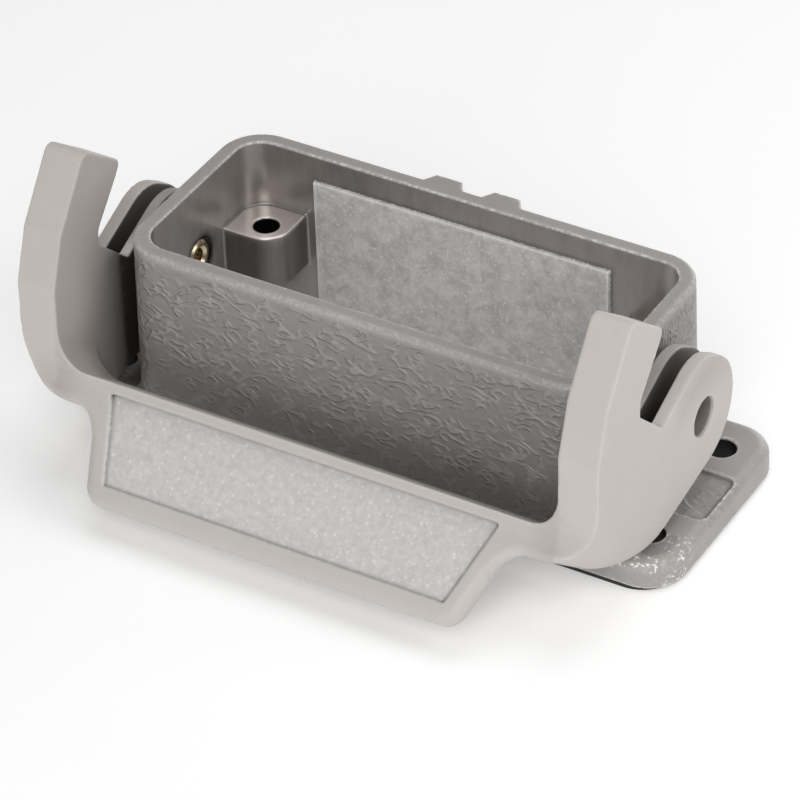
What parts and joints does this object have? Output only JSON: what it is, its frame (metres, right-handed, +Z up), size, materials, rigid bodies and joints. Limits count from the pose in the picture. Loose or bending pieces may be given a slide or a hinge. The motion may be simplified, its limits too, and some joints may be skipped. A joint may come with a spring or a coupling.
{
  "type": "bulkhead connector housing",
  "caption": "Die-cast bulkhead housing for a heavy duty rectangular connector, with a panel flange, a flat gasket and a forked locking lever on riveted pivots.",
  "frame": {"origin": "centre of the panel screw pattern, in the plane of the panel face under the gasket", "axes": "+X along the length of the housing, +Y away from the lever's handle, +Z up out of the panel, along the way the mating hood is pulled off"},
  "size_m": [0.0802, 0.0492, 0.0384],
  "materials": {
    "powder_coated_casting": "matte",
    "gasket_rubber": "matte",
    "plated_steel": "satin",
    "moulded_plastic": "satin"
  },
  "bodies": {
    "housing": {"housing": "powder_coated_casting", "flange_gasket": "gasket_rubber", "pivot_pin_left": "plated_steel", "pivot_pin_right": "plated_steel"},
    "lever": {"locking_lever": "moulded_plastic"}
  },
  "joints": [
    {"name": "lever", "type": "hinge", "parent": "housing", "child": "lever", "pos_m": [0, 0, 0.015], "axis": [1, 0, 0], "range_deg": [-56, 4]}
  ]
}
